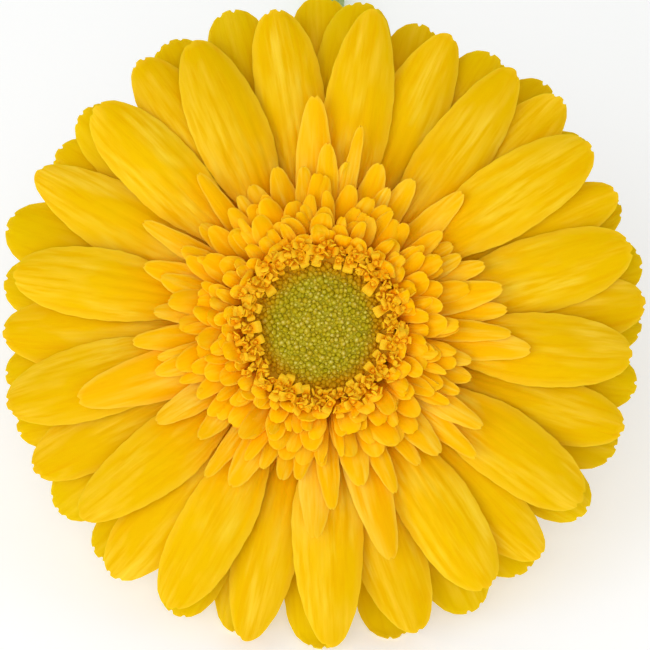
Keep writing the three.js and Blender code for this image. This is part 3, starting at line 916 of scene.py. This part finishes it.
# the dome that the buds stand on, down to the cup
dome = started(bpy.ops.mesh.primitive_uv_sphere_add, segments=48, ring_count=16, radius=1)
bpy.ops.object.mode_set(mode="EDIT")
pick(dome, lambda p: p.z < -0.01)
bpy.ops.mesh.delete(type="VERT")
pick(dome, lambda p: p.z < 0.01, "edges")
bpy.ops.mesh.extrude_region_move(TRANSFORM_OT_translate={"value": (0, 0, -7)})
bpy.ops.mesh.edge_face_add()
bpy.ops.object.mode_set(mode="OBJECT")
domePoints = pointsOf(dome.data)
domeRadii = np.hypot(domePoints[:, 0], domePoints[:, 1]) * buds["domeRadius"]
shoulder = buds["shoulder"] * np.clip((domeRadii - buds["radius"]) / 0.6, 0, 1)
heights = domeHeight(np.minimum(domeRadii, buds["radius"])) + shoulder - 0.05
heights = np.where(domePoints[:, 2] < -1, buds["domeFoot"], heights)
points = inBloom(np.arctan2(domePoints[:, 1], domePoints[:, 0]), domeRadii, heights)
# the dome is tinted orange-brown from 5.5 mm out, under the outer buds and the open florets, as a painted
# shade for the gaps that show between them
copies.append(copyOf(dome, points, rise=0.5, tint=np.clip((domeRadii - 5.5) / 2, 0, 1)))
finishPiece(joined("discBuds", copies), budSkin, "bud", "disc_buds")

# Involucre

cup = {
    "profile": [(3.1, -14), (5.2, -13.1), (7.4, -11), (9.1, -7.8), (10.1, -4.6), (10.1, -2.6), (9.5, -1.8)],
    "sides": 56,
}
bractBlade = {
    "length": 8, "width": 4.4, "columns": 10, "rows": 16, "foot": 0.8, "slimness": 0.8, "widest": 0.35,
    "fullness": 1.15, "tip": 0.07, "bulge": 0.2, "grooveDepth": 0.1, "grooves": (-0.44, 0.44), "notches": [],
}
bractRows = [
    {"start": (8.6, -9.2), "over": (10.7, -6.4), "end": (11.7, -2.2), "width": 4.8, "arch": -0.35},
    {"start": (6.9, -12.3), "over": (9.9, -9.7), "end": (11.3, -5), "width": 4.4, "arch": -0.35},
    {"start": (3, -14.6), "over": (7.2, -14), "end": (9.9, -8.6), "width": 3.6, "arch": -0.3},
]
bractsPerRow = 14
bractThickness = 0.4


def modelCup():
    # a ring drawn up loop by loop along the cup's profile
    radius, height = cup["profile"][0]
    shape = started(
        bpy.ops.mesh.primitive_circle_add, vertices=cup["sides"], radius=radius, fill_type="NGON",
        location=(0, 0, height),
    )
    bpy.ops.object.mode_set(mode="EDIT")
    bpy.ops.mesh.select_all(action="SELECT")
    for (before, low), (after, high) in zip(cup["profile"], cup["profile"][1:]):
        bpy.ops.mesh.extrude_region_move(TRANSFORM_OT_translate={"value": (0, 0, high - low)})
        ratio = after / before
        bpy.ops.transform.resize(value=(ratio, ratio, 1), center_override=(0, 0, high))
    bpy.ops.mesh.select_all(action="SELECT")
    bpy.ops.mesh.normals_make_consistent(inside=False)
    bpy.ops.object.mode_set(mode="OBJECT")
    return shape


cupShape = modelCup()
cupPoints = pointsOf(cupShape.data)
radii = np.hypot(cupPoints[:, 0], cupPoints[:, 1])
angles = np.arctan2(cupPoints[:, 1], cupPoints[:, 0])
laid = inBloom(angles, radii, cupPoints[:, 2])
cupCopy = copyOf(cupShape, laid, rise=0.1, tint=0.2)
bractTemplate = modelBlade("bract blade", bractBlade)
bractPoints = pointsOf(bractTemplate.data)
bractMargin = np.empty(len(bractPoints))
bractTemplate.data.attributes["margin"].data.foreach_get("value", bractMargin)
paleMargin = np.clip((bractMargin - 0.6) / 0.4, 0, 1)
bractHairs = []
copies = []
for row, bracts in enumerate(bractRows):
    for i in range(bractsPerRow):
        seed = 7000 + 100 * row + i
        floret = {
            **bracts,
            "angle": 2 * math.pi * (i + 0.5 * (row % 2) + 0.08 * scatter(seed)) / bractsPerRow,
            "twist": math.radians(5) * scatter(seed + 0.2),
            "sway": 0.3 * scatter(seed + 0.4),
            "level": -99,
            "curl": -0.25 + 0.3 * scatter(seed + 0.6),
        }
        points = layBlade(bractTemplate, bractBlade, floret)
        bractHairs.append(points[bractPoints[:, 1] > 0.25 * bractBlade["length"]])
        rise = np.clip(bractPoints[:, 1] / bractBlade["length"], 0, 1)
        tint = np.clip(0.25 + 0.25 * scatter(seed + 0.8) + paleMargin, 0, 1)
        copies.append(copyOf(bractTemplate, points, rise=rise, tint=tint))
bractPiece = joined("bracts", copies, bractThickness)
finishPiece(joined("involucre_bracts", [cupCopy, bractPiece]), bractSkin, "bract", "involucre")

# Scape

stem = {
    "length": 198,
    "top": -14.3,  # in the cup, on the flower's axis
    "slimRadius": 2.2, "footRadius": 2.7, "neckRadius": 3, "neckLength": 12, "sway": 5,
    "cutSlope": 0.8, "cutReach": 14,
    "sides": 80, "rings": 160, "ridges": 10, "ridgeHeight": 0.07,
    "insets": (0.12, 0.3, 0.3),  # the steps of the cut's bevel, before the tube is given its radius
}
flatShare = math.cos(math.pi / 10)  # the CAD part's scape has ten sides and lies on one of them
stemTop = inBloom(0, np.zeros(1), stem["top"])[0]
bendRadius = (stemTop[2] - stem["slimRadius"] * flatShare) / (1 - math.cos(bloom["tilt"]))
bendLength = bendRadius * bloom["tilt"]


def lyingShare(length):
    return np.maximum(0, (length - bendLength) / (stem["length"] - bendLength))


def stemRadius(length):
    flare = (stem["neckRadius"] - stem["slimRadius"]) * np.maximum(0, 1 - length / stem["neckLength"]) ** 2
    return stem["slimRadius"] + flare + (stem["footRadius"] - stem["slimRadius"]) * lyingShare(length)


def stemCentre(length):
    steepness = np.maximum(0, bloom["tilt"] - length / bendRadius)
    share = lyingShare(length)
    thickening = (stem["footRadius"] - stem["slimRadius"]) * share
    x = stemTop[0] + stem["sway"] * share * np.sin(2.4 * share)
    bend = bendRadius * (math.sin(bloom["tilt"]) - np.sin(steepness))
    y = stemTop[1] + bend + np.maximum(0, length - bendLength)
    z = bendRadius * (1 - np.cos(steepness)) + (stem["slimRadius"] + thickening) * flatShare
    return np.stack([x, y, z], axis=1)


def onStem(length, angle, beyond=0):
    # the point of the scape's skin at a distance from the cup and an angle round it
    length = np.asarray(length, float)
    forward = stemCentre(length + 0.5) - stemCentre(length - 0.5)
    forward /= np.linalg.norm(forward, axis=1)[:, None]
    aside = np.stack([-forward[:, 1], forward[:, 0], 0 * length], axis=1)
    aside /= np.linalg.norm(aside, axis=1)[:, None]
    up = np.cross(forward, aside)
    ridge = stem["ridgeHeight"] * np.cos(stem["ridges"] * angle + 0.02 * length)
    radius = (stemRadius(length) + ridge + beyond)[:, None]
    points = stemCentre(length) + radius * (aside * np.cos(angle)[:, None] + up * np.sin(angle)[:, None])
    # the last rings lean more and more towards the slanted cut
    leaning = np.clip((length - stem["length"]) / stem["cutReach"] + 1, 0, 1)
    points[:, 1] -= leaning * stem["cutSlope"] * points[:, 2]
    return points


def modelStem():
    # a tube modelled straight, with a bevelled cut, which is then bent along the scape's own line
    shape = started(
        bpy.ops.mesh.primitive_cylinder_add, vertices=stem["sides"], radius=1, depth=stem["length"],
        end_fill_type="NGON", location=(0, 0, stem["length"] / 2),
    )
    bpy.ops.object.mode_set(mode="EDIT")
    mesh = bmesh.from_edit_mesh(shape.data)
    for face in mesh.faces:
        face.select_set(len(face.verts) == 4)
    for edge in mesh.edges:
        edge.select = abs(edge.verts[0].co.z - edge.verts[1].co.z) > 1
    bmesh.update_edit_mesh(shape.data)
    bpy.ops.mesh.subdivide_edgering(number_cuts=stem["rings"], interpolation="LINEAR")
    for inset in stem["insets"]:
        mesh = bmesh.from_edit_mesh(shape.data)
        for face in mesh.faces:
            face.select_set(False)
        cut = max((face for face in mesh.faces if len(face.verts) > 4), key=lambda face: face.verts[0].co.z)
        cut.select_set(True)
        bmesh.update_edit_mesh(shape.data)
        bpy.ops.mesh.inset(thickness=inset)
    bpy.ops.object.mode_set(mode="OBJECT")
    return shape


stemShape = modelStem()
straight = pointsOf(stemShape.data)
angles = np.arctan2(straight[:, 1], straight[:, 0])
within = np.hypot(straight[:, 0], straight[:, 1])
skinPoints = onStem(straight[:, 2], angles)
atCut = straight[:, 2] > stem["length"] - 1e-3
cutMiddle = skinPoints[atCut & (within > 0.99)].mean(axis=0)
inside = (atCut & (within < 0.99))[:, None]
skinPoints = np.where(inside, cutMiddle + (skinPoints - cutMiddle) * within[:, None], skinPoints)
skinPoints[:, 2] = np.maximum(skinPoints[:, 2], 0.01)
stemRise = np.where(atCut, within, straight[:, 2] / stem["length"])
stemPiece = copyOf(stemShape, skinPoints, rise=stemRise, tint=0.3)
stemPiece.name = "leaflessScape"
stemPiece.data.materials.clear()
stemPiece.data.materials.append(scapeSkin)
stemPiece.data.materials.append(pithFlesh)
for face in stemPiece.data.polygons:
    corners = [within[v] for v in face.vertices]
    isEnd = all(atCut[v] for v in face.vertices)
    face.material_index = 1 if isEnd and min(corners) < 0.95 else 0
finishPiece(stemPiece, None, "scape", "scape")

# Hairs

hairs = {"onStem": 5200, "onBracts": 2600, "length": 0.75, "width": 0.045}
hairTemplate = started(
    bpy.ops.mesh.primitive_cone_add, vertices=3, radius1=1, radius2=0, depth=1,
    end_fill_type="NOTHING", location=(0, 0, 0.5),
)


def hairMesh(name, roots, tips):
    # one mesh of thin cones from the roots to the tips
    hair = pointsOf(hairTemplate.data)
    faces = [tuple(face.vertices) for face in hairTemplate.data.polygons]
    way = tips - roots
    side = np.cross(way, (0.3, 0.2, 0.9))
    side /= np.linalg.norm(side, axis=1)[:, None]
    other = np.cross(way, side)
    other /= np.linalg.norm(other, axis=1)[:, None]
    points = (
        roots[:, None]
        + hair[None, :, 2:3] * way[:, None]
        + hairs["width"] / 2 * (hair[None, :, 0:1] * side[:, None] + hair[None, :, 1:2] * other[:, None])
    )
    count = len(hair)
    mesh = bpy.data.meshes.new(name)
    allFaces = [tuple(v + i * count for v in face) for i in range(len(roots)) for face in faces]
    mesh.from_pydata((points.reshape(-1, 3) * mm).tolist(), [], allFaces)
    mark(mesh, "rise", np.tile(hair[:, 2], len(roots)))
    mark(mesh, "tint", 0.5)
    return linked(name, mesh)


random = np.random.default_rng(11)
lengths = stem["length"] * random.random(hairs["onStem"])
hairAngles = 2 * math.pi * random.random(hairs["onStem"])
roots = onStem(lengths, hairAngles, -0.05)
reach = hairs["length"] * (0.5 + 0.7 * random.random(hairs["onStem"]))
tipLengths = lengths - 0.5 * reach * random.random(hairs["onStem"])
tipAngles = hairAngles + 0.12 * random.normal(size=hairs["onStem"])
tips = onStem(tipLengths, tipAngles, reach)
clear = (tips[:, 2] > 0.1) & (roots[:, 2] > 0.1) & (lengths < stem["length"] - 3)
finishPiece(hairMesh("scapeHairs", roots[clear], tips[clear]), hairTissue, "scape")

# the bracts' hairs stand off the cup and lean towards the face
roots = np.concatenate(bractHairs)
roots = roots[random.integers(0, len(roots), hairs["onBracts"])]
roots = roots + 0.12 * random.normal(size=roots.shape)
fromAxis = roots - bloomCentre
fromAxis -= np.outer(fromAxis @ outward, outward)
fromAxis /= np.linalg.norm(fromAxis, axis=1)[:, None]
lean = (0.3 + 0.6 * random.random(len(roots)))[:, None] * outward
way = fromAxis + lean + 0.3 * random.normal(size=roots.shape)
tips = roots + hairs["length"] * (0.5 + 0.7 * random.random(len(roots)))[:, None] * way
clear = (tips[:, 2] > 0.1) & (roots[:, 2] > 0.1)
finishPiece(hairMesh("bractHairs", roots[clear], tips[clear]), hairTissue, "bract")

# the shapes that the copies were made from go
shapes = [shape for shape, _ in rayTemplates + backTemplates + transTemplates] + floretTemplates
shapes += [shortTemplate, budTemplate, dome, cupShape, bractTemplate, stemShape, hairTemplate]
for shape in shapes:
    bpy.data.objects.remove(shape)

# Table, light and camera

studio = {
    "tableSize": 4,
    "tableColour": "#FCFCFA",
    "tableGlow": 0.22,
    "skyColour": "#F6F8FB",
    "skyStrength": 0.56,
    "distance": 400,  # from the bloom to the camera
    "frameWidth": 79.9,  # what the picture's 650 pixels take in at the bloom
    "aim": (0.62, 0.12, 2),  # across, upward and outward from the bloom's centre
}
table = started(bpy.ops.mesh.primitive_plane_add, size=studio["tableSize"])
table.name = "table"
tableMaterial, tree, skin = newMaterial("matt white studio table, lit softly from below")
paint = colour(studio["tableColour"])
setInputs(tree, skin, {"Base Color": paint, "Roughness": 0.8})
setInputs(tree, skin, {"Emission Color": paint, "Emission Strength": studio["tableGlow"]})
table.data.materials.append(tableMaterial)

sky = bpy.data.worlds.new("studio")
bpy.context.scene.world = sky
sky.use_nodes = True
skyLight = {"Color": colour(studio["skyColour"]), "Strength": studio["skyStrength"]}
setInputs(sky.node_tree, sky.node_tree.nodes["Background"], skyLight)

aim = bloomCentre + studio["aim"][0] * across + studio["aim"][1] * upward + studio["aim"][2] * outward


def standBack(name, data, way, distance):
    # stands a lamp or the camera off, looking back at the aim
    holder = linked(name, data)
    holder.location = Vector((aim + distance * way) * mm)
    holder.rotation_euler = Vector(-way).to_track_quat("-Z", "Y").to_euler()
    return holder


lamps = [
    {"name": "key", "way": (-0.8, -0.1, 1), "distance": 700, "size": 0.55, "power": 1.72},
    {"name": "front", "way": (0, 0, 1), "distance": 800, "size": 0.3, "power": 1.42},
    {"name": "fill", "way": (0.9, 0.3, 0.6), "distance": 800, "size": 0.6, "power": 0.2},
    {"name": "back", "way": (-0.3, 0.9, -0.6), "distance": 800, "size": 0.6, "power": 0.8},
]
for lamp in lamps:
    light = bpy.data.lights.new(lamp["name"], "AREA")
    light.size = lamp["size"]
    light.energy = lamp["power"]
    way = lamp["way"][0] * across + lamp["way"][1] * upward + lamp["way"][2] * outward
    standBack(lamp["name"], light, way / np.linalg.norm(way), lamp["distance"])

camera = bpy.data.cameras.new("camera")
camera.sensor_width = 36
camera.lens = camera.sensor_width * studio["distance"] / studio["frameWidth"]
bpy.context.scene.camera = standBack("camera", camera, outward, studio["distance"])
bpy.context.scene.view_settings.view_transform = "Standard"
print("stage ready")
